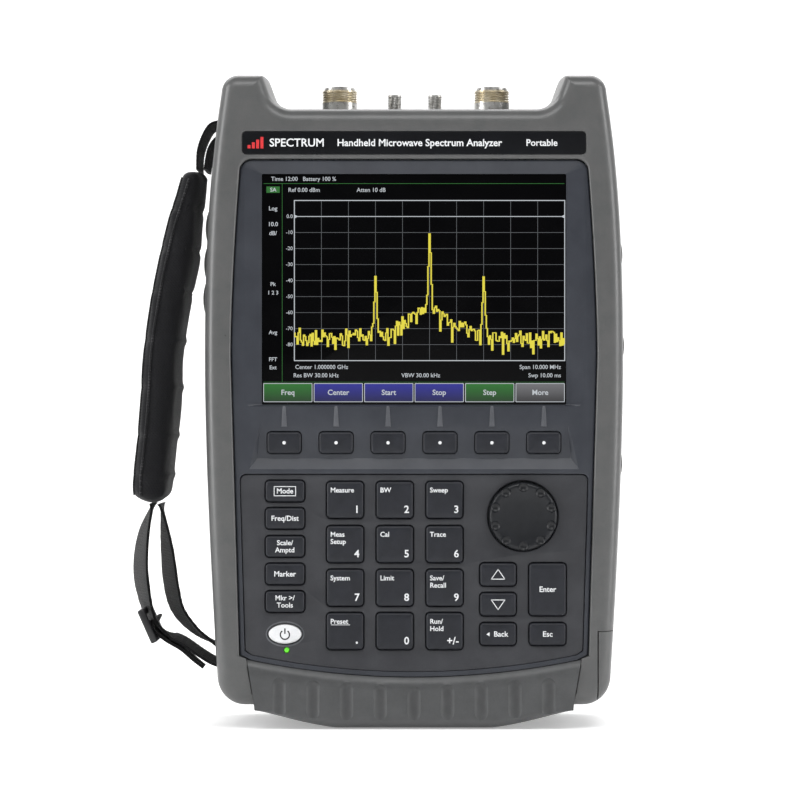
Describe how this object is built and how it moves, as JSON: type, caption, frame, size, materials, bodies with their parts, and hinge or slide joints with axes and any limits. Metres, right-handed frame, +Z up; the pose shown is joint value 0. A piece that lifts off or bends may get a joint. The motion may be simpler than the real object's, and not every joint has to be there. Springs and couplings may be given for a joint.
{
  "type": "spectrum analyzer",
  "caption": "Rugged handheld spectrum analyzer with a lit display, soft keys, keypad, tuning knob, coaxial ports on top, side doors, fold-out stand and a padded hand strap.",
  "frame": {"origin": "centre of the flat sole of the boot that the case stands on", "axes": "+X to the user's right, +Y from the front face to the back, +Z up along the case"},
  "size_m": [0.2231, 0.076, 0.292],
  "materials": {
    "case_plastic": "soft-touch mid grey moulding",
    "boot_rubber": "grey rubber",
    "slate_plastic": "satin dark slate",
    "panel_plastic": "satin dark grey",
    "plate_gloss": "gloss black printed label",
    "window_glass": "clear",
    "display_panel": "lit display",
    "led_lens": "lit green lens",
    "plated_metal": "nickel plated",
    "connector_metal": "passivated stainless, some brass",
    "socket_plastic": "black",
    "membrane_rubber": "silicone",
    "circuit_board": "green solder mask",
    "strap_webbing": "woven nylon",
    "pad_fabric": "padded nylon cloth",
    "knob_rubber": "satin",
    "key_rubber": "moulded silicone with printed legends",
    "power_key": "white",
    "stand_plastic": "glass-filled nylon"
  },
  "bodies": {
    "case": {"front_housing": "case_plastic", "rear_cover": "case_plastic", "bottom_boot": "boot_rubber", "display_bezel": "slate_plastic", "keypad_panel": "panel_plastic", "name_plate": "plate_gloss", "display_window": "window_glass", "lcd_module": "display_panel", "status_led": "led_lens", "connector_plate": "plated_metal", "rf_ports": "connector_metal", "sma_ports": "connector_metal", "side_connectors": "socket_plastic", "keypad_membrane": "membrane_rubber", "keypad_board": "circuit_board", "rotary_encoder": "plated_metal", "main_board": "circuit_board", "rf_module": "plated_metal", "battery_pack": "socket_plastic", "case_screws": "plated_metal", "strap_bars": "plated_metal", "strap_webbing_upper": "strap_webbing", "hand_strap_pad": "pad_fabric", "strap_webbing_lower": "strap_webbing", "strap_slider": "socket_plastic"},
    "tuning_knob": {"knob": "knob_rubber"},
    "usb_cover": {"usb_door": "case_plastic"},
    "lan_cover": {"lan_door": "case_plastic"},
    "power_cover": {"power_door": "case_plastic"},
    "battery_cover": {"battery_door": "case_plastic"},
    "stand": {"tilt_stand": "stand_plastic"},
    "softkey_1_cap": {"softkey_1": "key_rubber"},
    "softkey_2_cap": {"softkey_2": "key_rubber"},
    "softkey_3_cap": {"softkey_3": "key_rubber"},
    "softkey_4_cap": {"softkey_4": "key_rubber"},
    "softkey_5_cap": {"softkey_5": "key_rubber"},
    "softkey_6_cap": {"softkey_6": "key_rubber"},
    "key_mode_cap": {"key_mode": "key_rubber"},
    "key_freq_cap": {"key_freq": "key_rubber"},
    "key_scale_cap": {"key_scale": "key_rubber"},
    "key_marker_cap": {"key_marker": "key_rubber"},
    "key_tools_cap": {"key_tools": "key_rubber"},
    "key_power_cap": {"key_power": "power_key"},
    "key_1_cap": {"key_1": "key_rubber"},
    "key_2_cap": {"key_2": "key_rubber"},
    "key_3_cap": {"key_3": "key_rubber"},
    "key_4_cap": {"key_4": "key_rubber"},
    "key_5_cap": {"key_5": "key_rubber"},
    "key_6_cap": {"key_6": "key_rubber"},
    "key_7_cap": {"key_7": "key_rubber"},
    "key_8_cap": {"key_8": "key_rubber"},
    "key_9_cap": {"key_9": "key_rubber"},
    "key_point_cap": {"key_point": "key_rubber"},
    "key_0_cap": {"key_0": "key_rubber"},
    "key_sign_cap": {"key_sign": "key_rubber"},
    "key_up_cap": {"key_up": "key_rubber"},
    "key_down_cap": {"key_down": "key_rubber"},
    "key_back_cap": {"key_back": "key_rubber"},
    "key_enter_cap": {"key_enter": "key_rubber"},
    "key_esc_cap": {"key_esc": "key_rubber"}
  },
  "joints": [
    {"name": "knob_turn", "type": "hinge", "parent": "case", "child": "tuning_knob", "pos_m": [0.0482, -0.036, 0.0946], "axis": [0, 1, 0], "continuous": true},
    {"name": "usb_door_hinge", "type": "hinge", "parent": "case", "child": "usb_cover", "pos_m": [0.0941, 0.01415, 0.209], "axis": [0, 0, 1], "range_deg": [0, 110]},
    {"name": "lan_door_hinge", "type": "hinge", "parent": "case", "child": "lan_cover", "pos_m": [0.0941, 0.01415, 0.166], "axis": [0, 0, 1], "range_deg": [0, 110]},
    {"name": "power_door_hinge", "type": "hinge", "parent": "case", "child": "power_cover", "pos_m": [0.0941, 0.01415, 0.121], "axis": [0, 0, 1], "range_deg": [0, 110]},
    {"name": "battery_door_hinge", "type": "hinge", "parent": "case", "child": "battery_cover", "pos_m": [0.0886, 0.02415, 0.027], "axis": [0, 0, 1], "range_deg": [0, 100]},
    {"name": "stand_pivot", "type": "hinge", "parent": "case", "child": "stand", "pos_m": [0, 0.0324, 0.15], "axis": [1, 0, 0], "range_deg": [0, 38]},
    {"name": "softkey_1_press", "type": "slide", "parent": "case", "child": "softkey_1_cap", "axis": [0, 1, 0], "range_m": [0, 0.001], "stiffness_N_per_m": 600, "springref_m": -0.0005},
    {"name": "softkey_2_press", "type": "slide", "parent": "case", "child": "softkey_2_cap", "axis": [0, 1, 0], "range_m": [0, 0.001], "stiffness_N_per_m": 600, "springref_m": -0.0005},
    {"name": "softkey_3_press", "type": "slide", "parent": "case", "child": "softkey_3_cap", "axis": [0, 1, 0], "range_m": [0, 0.001], "stiffness_N_per_m": 600, "springref_m": -0.0005},
    {"name": "softkey_4_press", "type": "slide", "parent": "case", "child": "softkey_4_cap", "axis": [0, 1, 0], "range_m": [0, 0.001], "stiffness_N_per_m": 600, "springref_m": -0.0005},
    {"name": "softkey_5_press", "type": "slide", "parent": "case", "child": "softkey_5_cap", "axis": [0, 1, 0], "range_m": [0, 0.001], "stiffness_N_per_m": 600, "springref_m": -0.0005},
    {"name": "softkey_6_press", "type": "slide", "parent": "case", "child": "softkey_6_cap", "axis": [0, 1, 0], "range_m": [0, 0.001], "stiffness_N_per_m": 600, "springref_m": -0.0005},
    {"name": "key_mode_press", "type": "slide", "parent": "case", "child": "key_mode_cap", "axis": [0, 1, 0], "range_m": [0, 0.001], "stiffness_N_per_m": 600, "springref_m": -0.0005},
    {"name": "key_freq_press", "type": "slide", "parent": "case", "child": "key_freq_cap", "axis": [0, 1, 0], "range_m": [0, 0.001], "stiffness_N_per_m": 600, "springref_m": -0.0005},
    {"name": "key_scale_press", "type": "slide", "parent": "case", "child": "key_scale_cap", "axis": [0, 1, 0], "range_m": [0, 0.001], "stiffness_N_per_m": 600, "springref_m": -0.0005},
    {"name": "key_marker_press", "type": "slide", "parent": "case", "child": "key_marker_cap", "axis": [0, 1, 0], "range_m": [0, 0.001], "stiffness_N_per_m": 600, "springref_m": -0.0005},
    {"name": "key_tools_press", "type": "slide", "parent": "case", "child": "key_tools_cap", "axis": [0, 1, 0], "range_m": [0, 0.001], "stiffness_N_per_m": 600, "springref_m": -0.0005},
    {"name": "key_power_press", "type": "slide", "parent": "case", "child": "key_power_cap", "axis": [0, 1, 0], "range_m": [0, 0.001], "stiffness_N_per_m": 600, "springref_m": -0.0005},
    {"name": "key_1_press", "type": "slide", "parent": "case", "child": "key_1_cap", "axis": [0, 1, 0], "range_m": [0, 0.001], "stiffness_N_per_m": 600, "springref_m": -0.0005},
    {"name": "key_2_press", "type": "slide", "parent": "case", "child": "key_2_cap", "axis": [0, 1, 0], "range_m": [0, 0.001], "stiffness_N_per_m": 600, "springref_m": -0.0005},
    {"name": "key_3_press", "type": "slide", "parent": "case", "child": "key_3_cap", "axis": [0, 1, 0], "range_m": [0, 0.001], "stiffness_N_per_m": 600, "springref_m": -0.0005},
    {"name": "key_4_press", "type": "slide", "parent": "case", "child": "key_4_cap", "axis": [0, 1, 0], "range_m": [0, 0.001], "stiffness_N_per_m": 600, "springref_m": -0.0005},
    {"name": "key_5_press", "type": "slide", "parent": "case", "child": "key_5_cap", "axis": [0, 1, 0], "range_m": [0, 0.001], "stiffness_N_per_m": 600, "springref_m": -0.0005},
    {"name": "key_6_press", "type": "slide", "parent": "case", "child": "key_6_cap", "axis": [0, 1, 0], "range_m": [0, 0.001], "stiffness_N_per_m": 600, "springref_m": -0.0005},
    {"name": "key_7_press", "type": "slide", "parent": "case", "child": "key_7_cap", "axis": [0, 1, 0], "range_m": [0, 0.001], "stiffness_N_per_m": 600, "springref_m": -0.0005},
    {"name": "key_8_press", "type": "slide", "parent": "case", "child": "key_8_cap", "axis": [0, 1, 0], "range_m": [0, 0.001], "stiffness_N_per_m": 600, "springref_m": -0.0005},
    {"name": "key_9_press", "type": "slide", "parent": "case", "child": "key_9_cap", "axis": [0, 1, 0], "range_m": [0, 0.001], "stiffness_N_per_m": 600, "springref_m": -0.0005},
    {"name": "key_point_press", "type": "slide", "parent": "case", "child": "key_point_cap", "axis": [0, 1, 0], "range_m": [0, 0.001], "stiffness_N_per_m": 600, "springref_m": -0.0005},
    {"name": "key_0_press", "type": "slide", "parent": "case", "child": "key_0_cap", "axis": [0, 1, 0], "range_m": [0, 0.001], "stiffness_N_per_m": 600, "springref_m": -0.0005},
    {"name": "key_sign_press", "type": "slide", "parent": "case", "child": "key_sign_cap", "axis": [0, 1, 0], "range_m": [0, 0.001], "stiffness_N_per_m": 600, "springref_m": -0.0005},
    {"name": "key_up_press", "type": "slide", "parent": "case", "child": "key_up_cap", "axis": [0, 1, 0], "range_m": [0, 0.001], "stiffness_N_per_m": 600, "springref_m": -0.0005},
    {"name": "key_down_press", "type": "slide", "parent": "case", "child": "key_down_cap", "axis": [0, 1, 0], "range_m": [0, 0.001], "stiffness_N_per_m": 600, "springref_m": -0.0005},
    {"name": "key_back_press", "type": "slide", "parent": "case", "child": "key_back_cap", "axis": [0, 1, 0], "range_m": [0, 0.001], "stiffness_N_per_m": 600, "springref_m": -0.0005},
    {"name": "key_enter_press", "type": "slide", "parent": "case", "child": "key_enter_cap", "axis": [0, 1, 0], "range_m": [0, 0.001], "stiffness_N_per_m": 600, "springref_m": -0.0005},
    {"name": "key_esc_press", "type": "slide", "parent": "case", "child": "key_esc_cap", "axis": [0, 1, 0], "range_m": [0, 0.001], "stiffness_N_per_m": 600, "springref_m": -0.0005}
  ]
}
